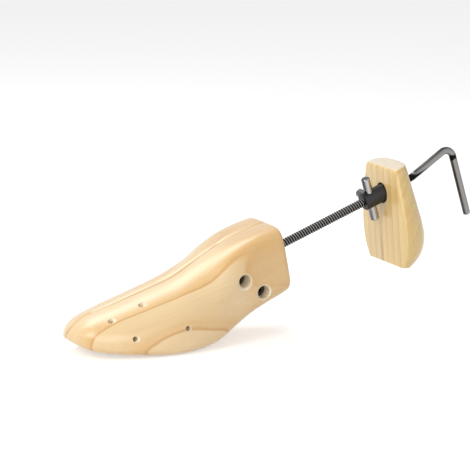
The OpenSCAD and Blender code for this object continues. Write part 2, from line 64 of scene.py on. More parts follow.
# Rod, handle and thread: places along the rod are counted from the forefoot's rear face
ROD_TILT = math.radians(20.0)
ROD_HEIGHT = 59.9
THREAD_D = 6.5
THREAD_PITCH = 2.0
JOURNAL_D = 5.0
JOURNAL_LEN = 18.0
PINS_AHEAD = 11.0
PIN_GROOVE_DEEP = 0.8
PIN_GROOVE_HALF = 1.2
SHANK_D = 5.5
THREAD_REAR = 110.0
THREAD_FRONT = -69.9
HANDLE_START = 127.0
HANDLE_KINK = math.radians(13.0)
KINK_R = 14.0
ARM_LEN = 40.0
LEG_LEN = 57.0
LEG_TURN = math.radians(106.0)
ELBOW_R = 6.5
LEG_CHAMFER = 0.8
ROD_AROUND = 40

# Width mechanism
PIVOT_U = -7.0
PLATE_OUT = 8.8
POCKET_HIGH = 13.7
EAR_R = 5.0
RECESS = 0.4
DEEP_HOLE_D = 9.8
PLATE_SCREW_D = 5.0
SEAT_Y = 14.8
PAD_R = 7.0
DEEP_HOLES = [(48.5, 46.3), (64.6, 36.1)]
WEDGE_BACK = 70.0
WEDGE_LEN = 26.0
WEDGE_HALF = 9.0
WEDGE_TAPER = math.radians(10.0)
WEDGE_TRAVEL = 20.0
WEDGE_ROOM = 1.5
WEDGE_ROOM_HIGH = 9.5
CHANNEL_GAP = 1.0
WEAR_T = 1.5
SLIDE_GAP = 0.1

# Heel block
HEEL_START = 99.5
HEEL_BOTTOM = 40.5
HEEL_TOP = 114.5
HEEL_HALF = 32.0
HEEL_DEPTH = 26.5
HEEL_LEAN = math.radians(4.9)
HEEL_TOP_ROUND = 2.0
HEEL_POWER = 2.5
HEEL_TOP_RISE = math.radians(15.0)
HEEL_RISE_HIGH = 35.0
SLEEVE_HOLE_D = 15.4
SLEEVE_HOLE_DEPTH = 9.0
BUSH_D = 9.4
BUSH_LEN = 6.5

# Plug sockets: x, z and tilt of the socket's axis
SOCKET_D = 4.0
SOCKET_DEPTH = 12.0
SOCKETS = [(-39.8, 15.5, 6.0), (-1.1, 19.8, 8.0), (-52.5, 27.0, 55.0), (-28.7, 35.6, 58.0)]

# Small forms that differ from the part's source, to follow the photograph more closely
SEAM_EDGE = 1.0
DEEP_CHAMFER = 1.2
SOCKET_CHAMFER = 0.7
HEEL_ROUND = 2.5

# Light: the world's level for the object, and the glow that keeps the floor white where it is seen
SKY = 0.4
FLOOR_GLOW = 0.5

# Curves that shape the forefoot: x against a value
TOP_LINE = [
    (-TOE_LEN, 22.5), (-64, 27.8), (-50, 32.3), (-20, 41.8), (5, 50.5), (20, 58.5),
    (35, INSTEP_TOP - 16), (50, INSTEP_TOP - 9.2), (65, INSTEP_TOP - 4.1),
    (INSTEP_LEN - 3, INSTEP_TOP), (INSTEP_LEN + 10, INSTEP_TOP + 2.5),
]
SOLE_LINE = [
    (-TOE_LEN, TOE_SPRING), (-66, 0.55 * TOE_SPRING), (-50, 0.26 * TOE_SPRING), (-32, 0.07 * TOE_SPRING),
    (-18, -SOLE_DIP), (6, -SOLE_DIP), (16, 0.6), (28, 4), (38, 9.8),
    (55, 19), (70, 25), (82, 29.5), (92, 34), (110, 42),
]
BELT_LINE = [(-TOE_LEN, 13.5), (-50, 12), (0, 14), (30, 25), (55, 38), (INSTEP_LEN + 20, 52)]
WIDTH_LINE = [
    (-TOE_LEN, 17.5), (-64, 24), (-50, 30.5), (-30, 0.92 * BALL_HALF), (-4, BALL_HALF),
    (20, 0.93 * BALL_HALF), (50, REAR_HALF + 4), (INSTEP_LEN + 10, REAR_HALF),
]
# Squarer at the rear than in the part's source
CROWN_LINE = [(-TOE_LEN, 2.1), (0, 2.2), (26, 2.5), (44, 4.2), (60, 6), (INSTEP_LEN + 20, 6.8)]
LOWER_LINE = [(-TOE_LEN, 4), (0, 5), (42, 5), (70, 3.8), (INSTEP_LEN + 20, 3)]

HEEL_MID = HEEL_BOTTOM + 25.5
HEEL_WIDTH_LINE = [
    (HEEL_BOTTOM, 0.79 * HEEL_HALF), (HEEL_BOTTOM + 9, 0.925 * HEEL_HALF), (HEEL_MID, HEEL_HALF),
    (HEEL_MID + 24, 0.89 * HEEL_HALF), (HEEL_TOP, 0.68 * HEEL_HALF),
]
HEEL_DEPTH_LINE = [
    (HEEL_BOTTOM, 0.46 * HEEL_DEPTH), (HEEL_BOTTOM + 3.5, 0.66 * HEEL_DEPTH),
    (HEEL_BOTTOM + 11, 0.88 * HEEL_DEPTH), (HEEL_MID - 5, 0.985 * HEEL_DEPTH),
    (HEEL_MID + 8, 0.93 * HEEL_DEPTH), (HEEL_MID + 24, 0.79 * HEEL_DEPTH), (HEEL_TOP, 0.56 * HEEL_DEPTH),
]


def chord(points, i):
    """Slope of the straight line from one point to the next."""
    return (points[i + 1][1] - points[i][1]) / (points[i + 1][0] - points[i][0])


def slope_at(points, i):
    """Slope of the smooth curve at one of its points."""
    if i == 0:
        return chord(points, 0)
    if i == len(points) - 1:
        return chord(points, i - 1)
    before = points[i][0] - points[i - 1][0]
    after = points[i + 1][0] - points[i][0]
    return (chord(points, i - 1) * after + chord(points, i) * before) / (before + after)


def smooth(points, x):
    """Value at x of a smooth curve through the points."""
    i = 0
    while i < len(points) - 2 and x >= points[i + 1][0]:
        i += 1
    w = points[i + 1][0] - points[i][0]
    t = (x - points[i][0]) / w
    blend = 3 * t * t - 2 * t * t * t
    start = slope_at(points, i) * (t ** 3 - 2 * t ** 2 + t)
    end = slope_at(points, i + 1) * (t ** 3 - t ** 2)
    return points[i][1] * (1 - blend) + points[i + 1][1] * blend + w * (start + end)


def bulge(power, angle):
    """Radius of a superellipse with half axes of 1."""
    return (abs(math.sin(angle)) ** power + abs(math.cos(angle)) ** power) ** (-1 / power)


def rod_z(x):
    """Height of the rod's axis."""
    return ROD_HEIGHT + (x - INSTEP_LEN) * math.tan(ROD_TILT)


def lean(x):
    """Slope by which a station's top leans to the toe: none at the ball, the full tilt at the rear."""
    t = max(0.0, min(1.0, (x - LEAN_START) / (INSTEP_LEN - LEAN_START)))
    return math.tan(REAR_TILT) * t ** LEAN_POWER


def nose(x):
    """Share of the full outline that is left at a station in the rounded toe."""
    t = max(0.0, (NOSE_LEN - TOE_LEN - x) / NOSE_LEN)
    return max(0.0, 1 - t ** NOSE_POWER) ** (1 / NOSE_POWER)


def top_z(x):
    """Height of the top line at the seam."""
    belt = smooth(BELT_LINE, x)
    there = x - lean(x) * (smooth(TOP_LINE, x) - rod_z(x))
    return belt + (smooth(TOP_LINE, there) - belt) * nose(x)


def sole_z(x):
    """Height of the sole line at the seam."""
    belt = smooth(BELT_LINE, x)
    there = x + lean(x) * (rod_z(x) - smooth(SOLE_LINE, x))
    return belt + (smooth(SOLE_LINE, there) - belt) * nose(x)


def half_width(x):
    return smooth(WIDTH_LINE, x) * nose(x)


def side_y(x, z):
    """Distance of the forefoot's side from the middle plane."""
    belt = smooth(BELT_LINE, x)
    power = smooth(CROWN_LINE if z > belt else LOWER_LINE, x)
    high = top_z(x) - belt if z > belt else belt - sole_z(x)
    return half_width(x) * max(0.0, 1 - (abs(z - belt) / high) ** power) ** (1 / power)


def break_edge(y, z, belt, edge):
    """Draws a point near the seam in towards the belt, which rounds the edge along the seam."""
    near = max(0.0, 1 - (y - SEAM_GAP) / edge)
    drop = edge * (1 - math.sqrt(1 - near * near))
    return (y, z - drop if z > belt else z + drop)


def half_outline(x, draw, steps):
    """Outline of one half at a station, from the seam over the top and the side to the seam below."""
    belt = smooth(BELT_LINE, x)
    up = top_z(x) - belt - draw
    down = belt - sole_z(x) - draw
    wide = half_width(x) - draw - SEAM_GAP
    edge = min(SEAM_EDGE, 0.2 * up, 0.2 * down, 0.2 * wide)
    points = []
    for i in range(steps + 1):
        a = math.pi / 2 * i / steps
        r = bulge(smooth(CROWN_LINE, x), a)
        points.append((SEAM_GAP + wide * math.sin(a) * r, belt + up * math.cos(a) * r))
    for i in range(steps - 1, -1, -1):
        a = math.pi / 2 * i / steps
        r = bulge(smooth(LOWER_LINE, x), a)
        points.append((SEAM_GAP + wide * math.sin(a) * r, max(0.0, belt - down * math.cos(a) * r)))
    return [break_edge(y, z, belt, edge) for y, z in points]


def new_object(name, bm):
    """A mesh object from a bmesh in millimetres."""
    bmesh.ops.recalc_face_normals(bm, faces=bm.faces)
    mesh = bpy.data.meshes.new(name)
    bmesh.ops.scale(bm, vec=(MM, MM, MM), verts=bm.verts)
    bm.to_mesh(mesh)
    bm.free()
    obj = bpy.data.objects.new(name, mesh)
    bpy.context.scene.collection.objects.link(obj)
    return obj


def paint(obj, material):
    obj.data.materials.clear()
    obj.data.materials.append(material)


def skin(name, rings):
    """Closed surface through rings of points, with a flat face at each end."""
    bm = bmesh.new()
    made = [[bm.verts.new(p) for p in ring] for ring in rings]
    count = len(rings[0])
    for one, two in zip(made, made[1:]):
        for i in range(count):
            j = (i + 1) % count
            bm.faces.new((one[i], one[j], two[j], two[i]))
    bm.faces.new(made[0])
    bm.faces.new(made[-1])
    return new_object(name, bm)


def soften(obj, angle=32.0):
    """Smooth shading with sharp edges where the faces turn by more than an angle."""
    bm = bmesh.new()
    bm.from_mesh(obj.data)
    for face in bm.faces:
        face.smooth = True
    for edge in bm.edges:
        if len(edge.link_faces) == 2 and edge.calc_face_angle(0.0) > math.radians(angle):
            edge.smooth = False
    bm.to_mesh(obj.data)
    bm.free()


# Places on the rod: u along it towards the heel, y across, n square to it and up
ROD = Matrix.Translation((INSTEP_LEN, 0, ROD_HEIGHT)) @ Matrix.Rotation(-ROD_TILT, 4, "Y")


def lathe_cutter(place, profile):
    """Turned solid along a place's X. The profile gives places along X, each with its radius."""
    around = 48
    rings = []
    for x, r in profile:
        angles = [2 * math.pi * k / around for k in range(around)]
        rings.append([place @ Vector((x, r * math.cos(a), r * math.sin(a))) for a in angles])
    return skin("cutter", rings)


def round_cutter(place, start, end, r):
    """Cylinder along a place's X."""
    return lathe_cutter(place, [(start, r), (end, r)])


def prism_cutter(place, outline, low, high):
    """Prism along a place's Z over an outline."""
    bm = bmesh.new()
    floor = [bm.verts.new(place @ Vector((x, y, low))) for x, y in outline]
    roof = [bm.verts.new(place @ Vector((x, y, high))) for x, y in outline]
    bm.faces.new(floor)
    bm.faces.new(roof)
    for i in range(len(outline)):
        j = (i + 1) % len(outline)
        bm.faces.new((floor[i], floor[j], roof[j], roof[i]))
    return new_object("cutter", bm)


def cut(obj, cutters):
    """Cuts each cutter out of the object and deletes it."""
    for cutter in cutters:
        modifier = obj.modifiers.new("cut", "BOOLEAN")
        modifier.operation = "DIFFERENCE"
        modifier.solver = "EXACT"
        modifier.material_mode = "TRANSFER"
        modifier.object = cutter
        depsgraph = bpy.context.evaluated_depsgraph_get()
        mesh = bpy.data.meshes.new_from_object(obj.evaluated_get(depsgraph))
        obj.modifiers.clear()
        obj.data = mesh
        bpy.data.objects.remove(cutter)


def facing(point, direction):
    """A place at a point with its X along a direction."""
    turn = Vector(direction).to_track_quat("X", "Z").to_matrix().to_4x4()
    return Matrix.Translation(point) @ turn


def hole_cutters(side, bare):
    """Cutters for the screw holes and the plug sockets, which leave bare wood on their walls and chamfers.

    Each chamfer is a cone of 45 degrees that goes on above the surface.
    """
    cutters = []
    past_seam = 1.0
    clear = 10.0
    for x, z in DEEP_HOLES:
        surface = side_y(x, z)
        r = DEEP_HOLE_D / 2
        screw_r = PLATE_SCREW_D / 2
        flare = 3 * DEEP_CHAMFER
        cutters.append(lathe_cutter(facing((x, 0, z), (0, side, 0)), [
            (-past_seam, screw_r), (SEAT_Y, screw_r), (SEAT_Y, r), (surface - DEEP_CHAMFER, r),
            (surface + 2 * DEEP_CHAMFER, r + flare), (surface + clear, r + flare),
        ]))
    for x, z, tilt in SOCKETS:
        a = math.radians(tilt)
        place = facing((x, side * side_y(x, z), z), (0, side * math.cos(a), math.sin(a)))
        r = SOCKET_D / 2
        flare = 2.5 * SOCKET_CHAMFER
        cutters.append(lathe_cutter(place, [
            (-SOCKET_DEPTH, r), (-SOCKET_CHAMFER / 2, r),
            (2 * SOCKET_CHAMFER, r + flare), (clear, r + flare),
        ]))
    for cutter in cutters:
        paint(cutter, bare)
    return cutters


def in_rod_frame(x, z):
    """Places along the rod and square to it, for a point in the middle plane."""
    across = Vector((x - INSTEP_LEN, 0, z - ROD_HEIGHT))
    local = Matrix.Rotation(ROD_TILT, 3, "Y") @ across
    return local.x, local.z


def convex_outline(circles, corners, steps=24):
    """Convex outline round circles and corner points."""
    points = [Vector(c) for c in corners]
    for x, y, r in circles:
        for i in range(steps):
            a = 2 * math.pi * i / steps
            points.append(Vector((x + r * math.cos(a), y + r * math.sin(a))))
    points.sort(key=lambda p: (p.x, p.y))

    def chain(sequence):
        out = []
        for p in sequence:
            while len(out) > 1 and (out[-1] - out[-2]).cross(p - out[-2]) <= 0:
                out.pop()
            out.append(p)
        return out[:-1]

    return chain(points) + chain(reversed(points))


def hinge_pocket_cutters(side):
    """Cutters for the hinge block's pocket and for the hinge plate's seat."""
    past_rear = 30
    past_seam = 1.0
    inner = -side * past_seam
    outer = side * PLATE_OUT
    front = PIVOT_U - EAR_R - RECESS
    pocket = prism_cutter(ROD, [
        (front, inner), (past_rear, inner), (past_rear, outer), (front, outer),
    ], -POCKET_HIGH, POCKET_HIGH)
    pads = []
    for x, z in DEEP_HOLES:
        u, n = in_rod_frame(x, z)
        pads.append((u, n, PAD_R + RECESS))
    corners = [(PIVOT_U + EAR_R + RECESS, s * POCKET_HIGH) for s in (-1, 1)]
    corners += [(front, s * POCKET_HIGH) for s in (-1, 1)]
    sideways = ROD @ Matrix.Rotation(math.pi / 2, 4, "X")
    return [pocket, prism_cutter(sideways, convex_outline(pads, corners), -outer, -inner)]


def wedge_room_cutters(side):
    """Cutters for the rod's channel, the wedge's room and the relief that lets the halves turn."""
    past_seam = 1.0
    inner = -side * past_seam
    channel_end = 20
    channel = round_cutter(ROD, -WEDGE_BACK - WEDGE_LEN, channel_end, THREAD_D / 2 + CHANNEL_GAP)

    opening = WEDGE_TRAVEL * math.tan(WEDGE_TAPER) / (PIVOT_U + WEDGE_BACK + WEDGE_LEN)
    wear_angle = WEDGE_TAPER + opening
    tip = WEDGE_HALF - WEDGE_LEN * math.tan(WEDGE_TAPER)
    out = (SLIDE_GAP + WEAR_T) / math.cos(wear_angle)
    wedge_front = -WEDGE_BACK - WEDGE_LEN
    room_back = -WEDGE_BACK + WEDGE_ROOM
    room_front = wedge_front - WEDGE_TRAVEL - WEDGE_ROOM
    back_y = tip + WEDGE_LEN * math.tan(wear_angle) + out
    wedge_room = prism_cutter(ROD, [
        (room_back, inner), (room_back, side * back_y), (-WEDGE_BACK, side * back_y),
        (wedge_front, side * (tip + out)), (wedge_front, side * (tip + WEDGE_ROOM)),
        (room_front, side * (tip + WEDGE_ROOM)), (room_front, inner),
    ], -WEDGE_ROOM_HIGH, WEDGE_ROOM_HIGH)

    relief_len, relief_deep, relief_high = 40, 4, 60
    turned = ROD @ Matrix.Translation((PIVOT_U, 0, 0)) @ Matrix.Rotation(side * math.atan(opening), 4, "Z")
    relief = prism_cutter(turned, [
        (0, -side * SEAM_GAP), (relief_len, -side * relief_deep), (relief_len, side * SEAM_GAP),
        (0, side * SEAM_GAP),
    ], -relief_high, relief_high)
    return [channel, wedge_room, relief]


def forefoot_half(name, side, finish, bare):
    """One half of the split wooden forefoot, with its holes and pockets."""
    nose_steps, body_steps, round_steps, section_steps = 14, 64, 6, 26
    nose_end = 4
    stations = []
    for i in range(nose_steps + 1):
        a = math.radians(nose_end + (90 - nose_end) * i / nose_steps)
        stations.append((NOSE_LEN - TOE_LEN - NOSE_LEN * math.cos(a), 0))
    body = INSTEP_LEN - REAR_ROUND + TOE_LEN - NOSE_LEN
    for i in range(1, body_steps + 1):
        stations.append((NOSE_LEN - TOE_LEN + body * i / body_steps, 0))
    for i in range(1, round_steps + 1):
        a = math.pi / 2 * i / round_steps
        stations.append((INSTEP_LEN - REAR_ROUND * (1 - math.sin(a)), REAR_ROUND * (1 - math.cos(a))))
    rings = []
    for x, draw in stations:
        ring = half_outline(x, draw, section_steps)
        rings.append([(x - lean(x) * (z - rod_z(x)), side * y, z) for y, z in ring])
    obj = skin(name, rings)
    paint(obj, finish)
    cut(obj, hole_cutters(side, bare) + hinge_pocket_cutters(side) + wedge_room_cutters(side))
    soften(obj)
    return obj


def heel_front(z):
    """Place of the heel block's front face, whose top leans towards the toe, at a height."""
    x = INSTEP_LEN + HEEL_START * math.cos(ROD_TILT)
    height = ROD_HEIGHT + HEEL_START * math.sin(ROD_TILT)
    return x - (z - height) * math.tan(HEEL_LEAN)


def heel_outline(z, draw):
    """Plan outline of the heel block at a height."""
    corner_steps, side_steps = 6, 22
    x0 = heel_front(z) + draw
    wide = smooth(HEEL_WIDTH_LINE, z) - draw
    deep = smooth(HEEL_DEPTH_LINE, z) - 2 * draw
    r = min(HEEL_ROUND, deep / 3)
    side = []
    for i in range(corner_steps + 1):
        a = math.pi / 2 * i / corner_steps
        side.append((x0 + r - r * math.cos(a), wide - r + r * math.sin(a)))
    for i in range(1, side_steps):
        a = math.pi / 2 * i / side_steps
        b = bulge(HEEL_POWER, a)
        side.append((x0 + r + (deep - r) * math.sin(a) * b, wide * math.cos(a) * b))
    return side + [(x0 + deep, 0)] + [(x, -y) for x, y in reversed(side)]


def heel_rise(z):
    """Slope of the heel block's levels, which climb towards the back near the top."""
    start = HEEL_TOP - HEEL_RISE_HIGH
    return math.tan(HEEL_TOP_RISE) * max(0.0, (z - start) / (HEEL_TOP - start)) ** 2


def heel_block(name, finish):
    """Wooden heel block with its holes for the sleeve, the bush and the rod."""
    steps, round_steps = 34, 5
    crowding = 1.25
    body_top = HEEL_TOP - HEEL_TOP_ROUND
    levels = []
    for i in range(steps + 1):
        levels.append((HEEL_BOTTOM + (body_top - HEEL_BOTTOM) * (i / steps) ** crowding, 0))
    for i in range(1, round_steps + 1):
        a = math.pi / 2 * i / round_steps
        levels.append((body_top + HEEL_TOP_ROUND * math.sin(a), HEEL_TOP_ROUND * (1 - math.cos(a))))
    rings = []
    for z, draw in levels:
        ring = heel_outline(z, draw)
        rings.append([(x, y, z + heel_rise(z) * (x - heel_front(z))) for x, y in ring])
    obj = skin(name, rings)
    paint(obj, finish)
    hole_end = HEEL_START + SLEEVE_HOLE_DEPTH
    before, behind, lap, rod_gap = 20, 50, 1, 0.5
    cut(obj, [
        round_cutter(ROD, HEEL_START - before, hole_end, SLEEVE_HOLE_D / 2),
        round_cutter(ROD, hole_end - lap, hole_end + BUSH_LEN, BUSH_D / 2),
        round_cutter(ROD, hole_end, HEEL_START + behind, THREAD_D / 2 + rod_gap),
    ])
    soften(obj)
    return obj


def thread_rise(turn):
    """Height of the thread above its root at a fraction of a turn: crest, flank, root, flank."""
    root_share, flank_share = 0.1, 0.7
    wave = 0.5 + 0.5 * math.cos(2 * math.pi * (turn % 1.0))
    return (THREAD_D - SHANK_D) / 2 * min(1.0, max(0.0, (wave - root_share) / flank_share))


def along_rod(u):
    return ROD @ Matrix.Translation((u, 0, 0))


def rod_ring(place, radius):
    """Ring of points round a place's X. The radius is a function of the angle."""
    points = []
    for k in range(ROD_AROUND):
        a = 2 * math.pi * k / ROD_AROUND
        r = radius(a)
        points.append(place @ Vector((0, r * math.cos(a), r * math.sin(a))))
    return points


def plain_ring(place, r):
    return rod_ring(place, lambda a: r)


def journal_rings():
    """The rod's front end: the journal that turns in the wedge, with a groove for the wedge's pins."""
    end_chamfer = 0.5
    r = JOURNAL_D / 2
    end = -WEDGE_BACK - JOURNAL_LEN
    pins = -WEDGE_BACK - PINS_AHEAD
    return [plain_ring(along_rod(u), radius) for u, radius in [
        (end, r - end_chamfer), (end + end_chamfer, r), (pins - PIN_GROOVE_HALF, r),
        (pins - PIN_GROOVE_HALF, r - PIN_GROOVE_DEEP), (pins + PIN_GROOVE_HALF, r - PIN_GROOVE_DEEP),
        (pins + PIN_GROOVE_HALF, r), (THREAD_FRONT, r),
    ]]


def thread_rings():
    """The helical thread, which fades in over its first turn and out over its last."""
    per_turn = 10
    last = per_turn * int((THREAD_REAR - THREAD_FRONT) / THREAD_PITCH)
    rings = []
    for i in range(last + 1):
        fade = min(1.0, i / per_turn, (last - i) / per_turn)
        place = along_rod(THREAD_FRONT + i * THREAD_PITCH / per_turn)
        rings.append(rod_ring(
            place, lambda a: SHANK_D / 2 + fade * thread_rise(i / per_turn - a / (2 * math.pi))
        ))
    return rings


def bend(rings, start, r, angle, steps):
    """Adds the rings of a bend in the rod, and gives the place at its end."""
    sign = 1 if angle > 0 else -1
    for i in range(1, steps + 1):
        a = abs(angle) * i / steps
        move = Matrix.Translation((r * math.sin(a), 0, sign * r * (1 - math.cos(a))))
        turned = start @ move @ Matrix.Rotation(-sign * a, 4, "Y")
        rings.append(plain_ring(turned, SHANK_D / 2))
    return turned


def handle_rings():
    """The plain shank with its kink, the arm, the elbow and the leg with its chamfered end."""
    kink_steps, elbow_steps = 5, 18
    kink = KINK_R * math.tan(HANDLE_KINK / 2)
    elbow = ELBOW_R * math.tan(LEG_TURN / 2)
    place = along_rod(HANDLE_START - kink)
    rings = [plain_ring(place, SHANK_D / 2)]
    place = bend(rings, place, KINK_R, HANDLE_KINK, kink_steps)
    place = place @ Matrix.Translation((ARM_LEN - kink - elbow, 0, 0))
    rings.append(plain_ring(place, SHANK_D / 2))
    place = bend(rings, place, ELBOW_R, -LEG_TURN, elbow_steps)
    place = place @ Matrix.Translation((LEG_LEN - elbow - LEG_CHAMFER, 0, 0))
    rings.append(plain_ring(place, SHANK_D / 2))
    rings.append(plain_ring(place @ Matrix.Translation((LEG_CHAMFER, 0, 0)), SHANK_D / 2 - LEG_CHAMFER))
    return rings


def crank_rod(name, finish):
    """The bent steel rod in one piece, with a helical thread."""
    obj = skin(name, journal_rings() + thread_rings() + handle_rings())
    paint(obj, finish)
    soften(obj, angle=40.0)
    return obj


def srgb(r, g, b):
    """Linear colour of an ordinary 0 to 255 colour."""
    out = []
    for value in (r, g, b):
        v = value / 255
        out.append(v / 12.92 if v <= 0.04045 else ((v + 0.055) / 1.055) ** 2.4)
    return (*out, 1.0)


class Shader:
    """Short way to write a material's nodes."""

    def __init__(self, name):
        self.material = bpy.data.materials.new(name)
        self.material.use_nodes = True
        self.tree = self.material.node_tree
        self.surface = self.tree.nodes["Principled BSDF"]

    def add(self, kind, inputs, **settings):
        node = self.tree.nodes.new(kind)
        for key, value in settings.items():
            setattr(node, key, value)
        for key, value in inputs.items():
            self.put(node.inputs[key], value)
        return node.outputs

    def put(self, socket, value):
        if isinstance(value, bpy.types.NodeSocket):
            self.tree.links.new(value, socket)
        else:
            socket.default_value = value

    def math(self, operation, *values):
        return self.add("ShaderNodeMath", dict(enumerate(values)), operation=operation)[0]

    def place(self, point=(0, 0, 0), turn=(0, 0, 0)):
        """Coordinates in metres from a point, with X along a turned axis."""
        coord = self.add("ShaderNodeTexCoord", {})["Object"]
        inputs = {"Vector": coord, "Location": [v * MM for v in point], "Rotation": turn}
        return self.add("ShaderNodeMapping", inputs, vector_type="TEXTURE")[0]

    def length(self, vector, scale):
        """Length of a vector after each of its parts is scaled."""
        stretched = self.stretch(vector, scale)
        return self.add("ShaderNodeVectorMath", {0: stretched}, operation="LENGTH")["Value"]

    def stretch(self, vector, scale):
        return self.add("ShaderNodeMapping", {"Vector": vector, "Scale": scale})[0]

    def noise(self, vector, scale, detail=3.0, roughness=0.5):
        inputs = {"Vector": vector, "Scale": scale, "Detail": detail, "Roughness": roughness}
        return self.add("ShaderNodeTexNoise", inputs)["Fac"]

    def ramp(self, value, stops):
        node = self.tree.nodes.new("ShaderNodeValToRGB")
        self.put(node.inputs["Fac"], value)
        band = node.color_ramp
        while len(band.elements) < len(stops):
            band.elements.new(0.5)
        for element, (position, colour) in zip(band.elements, stops):
            element.position = position
            element.color = colour if isinstance(colour, tuple) else (colour, colour, colour, 1.0)
        return node.outputs["Color"]

    def mix(self, factor, a, b, blend="MIX"):
        node = self.tree.nodes.new("ShaderNodeMix")
        node.data_type = "RGBA"
        node.blend_type = blend
        self.put(node.inputs["Factor"], factor)
        self.put(node.inputs["A"], a)
        self.put(node.inputs["B"], b)
        return node.outputs["Result"]

    def tint(self, amount, base, tone):
        """The base, multiplied by a tone where the amount is 1."""
        return self.mix(amount, base, self.mix(1.0, base, tone, "MULTIPLY"))

    def bump(self, height, distance, strength):
        inputs = {"Height": height, "Distance": distance, "Strength": strength}
        self.put(self.surface.inputs["Normal"], self.add("ShaderNodeBump", inputs)["Normal"])


def ring_stops(radii, reach, light, deep, line):
    """Colours over the distance from the pith: each ring darkens slowly and ends in a thin dark line."""
    edge = 0.45
    stops = []
    inner = 0.0
    for r in radii:
        gap = r - inner
        stops += [(inner + edge, light), (inner + 0.4 * gap, light), (r - 0.05 * gap - 0.3, deep), (r, line)]
        inner = r
    return [(r / reach, colour) for r, colour in stops] + [(min(1.0, (inner + edge) / reach), light)]


def calm_rings(s, base, grain, start, end, tone):
    """Fades the rings into one tone between two places along the grain."""
    span = 100.0
    along = s.add("ShaderNodeSeparateXYZ", {"Vector": grain})["X"]
    fade = s.ramp(s.math("DIVIDE", along, span * MM), [(start / span, 0.0), (end / span, 0.8)])
    return s.mix(fade, base, tone)


def warm_figure(s, base, grain, radius, drift, fine_gap):
    """Fine rings, streaks and clouds in a warmer tone."""
    warm = (0.97, 0.93, 0.84, 1.0)
    fine = s.math("FRACT", s.math("MULTIPLY_ADD", drift, 1.5, s.math("DIVIDE", radius, fine_gap)))
    streaks = s.noise(s.stretch(grain, (4, 130, 130)), 1.0, 3.0, 0.55)
    cloud = s.noise(s.stretch(grain, (9, 24, 24)), 1.0, 2.0)
    base = s.tint(s.ramp(fine, [(0.45, 0.0), (0.95, 0.55), (1.0, 0.0)]), base, warm)
    base = s.tint(s.ramp(streaks, [(0.42, 0.0), (0.72, 1.0)]), base, warm)
    return s.tint(s.ramp(cloud, [(0.35, 0.0), (0.7, 0.6)]), base, warm)


def pith_streak(s, base, grain, radius, strength):
    """A brown streak along the lower part of the pith."""
    brown = srgb(156, 98, 36)
    core = s.ramp(s.math("DIVIDE", radius, 10.0), [(0.0, 1.0), (0.1, 0.6), (0.24, 0.0)])
    along = s.add("ShaderNodeSeparateXYZ", {"Vector": grain})["X"]
    low = s.ramp(s.math("MULTIPLY", along, -30.0), [(0.0, 0.0), (0.7, 1.0)])
    return s.mix(s.math("MULTIPLY", s.math("MULTIPLY", core, low), strength), base, brown)


def side_lines(s, base, normal, pith, slant):
    """Fine lines on the sides, at a slant in degrees from level."""
    along = s.place(pith, (0, math.radians(-slant), 0))
    lines = s.noise(s.stretch(along, (8, 30, 330)), 1.0, 3.0, 0.6)
    side = s.ramp(s.length(normal, (0, 1, 0)), [(0.72, 0.0), (0.88, 1.0)])
    shown = s.math("MULTIPLY", side, s.ramp(lines, [(0.4, 0.0), (0.66, 0.9)]))
    return s.tint(shown, base, (0.9, 0.82, 0.68, 1.0))


def end_grain(s, base, normal, turn, pale):
    """A paler tone on the faces that cut across the grain."""
    inputs = {"Vector": normal, "Rotation": turn}
    facing_out = s.add("ShaderNodeMapping", inputs, vector_type="TEXTURE")[0]
    end = s.ramp(s.length(facing_out, (1, 0, 0)), [(0.7, 0.0), (0.95, 1.0)])
    return s.mix(s.math("MULTIPLY", end, 0.7), base, pale)


def wood(name, light, deep, line, end_pale, pith, turn, radii, fine_gap, streak=0.0, calm=None, slant=None):
    """Planed and sanded pine. The grain runs along the pith and growth rings run round it.

    Each ring goes from light to deep and ends in a dark line. The options are the strength of a streak along
    the pith, two places between which the rings fade out, and the slant of fine lines on the sides.
    """
    s = Shader(name)
    reach = radii[-1] + 4
    grain = s.place(pith, turn)
    drift = s.math("SUBTRACT", s.noise(s.stretch(grain, (7, 26, 26)), 1.0, 2.0), 0.5)
    radius = s.math("ADD", drift, s.length(grain, (0, 1000, 1000)))
    base = s.ramp(s.math("DIVIDE", radius, reach), ring_stops(radii, reach, light, deep, line))
    if calm:
        base = calm_rings(s, base, grain, *calm, s.mix(0.2, deep, line))
    base = warm_figure(s, base, grain, radius, drift, fine_gap)
    if streak:
        base = pith_streak(s, base, grain, radius, streak)
    normal = s.add("ShaderNodeTexCoord", {})["Normal"]
    if slant:
        base = side_lines(s, base, normal, pith, slant)
    base = end_grain(s, base, normal, turn, end_pale)

    fibre = s.noise(s.stretch(grain, (12, 950, 950)), 1.0, 4.0, 0.6)
    shade = s.ramp(fibre, [(0.3, 0.94), (0.6, 1.0)])
    s.put(s.surface.inputs["Base Color"], s.mix(1.0, base, shade, "MULTIPLY"))
    s.put(s.surface.inputs["Roughness"], s.math("MULTIPLY_ADD", fibre, 0.12, 0.32))
    s.surface.inputs["Coat Weight"].default_value = 0.85
    s.surface.inputs["Coat Roughness"].default_value = 0.27
    s.bump(fibre, 0.00004, 0.35)
    return s.material


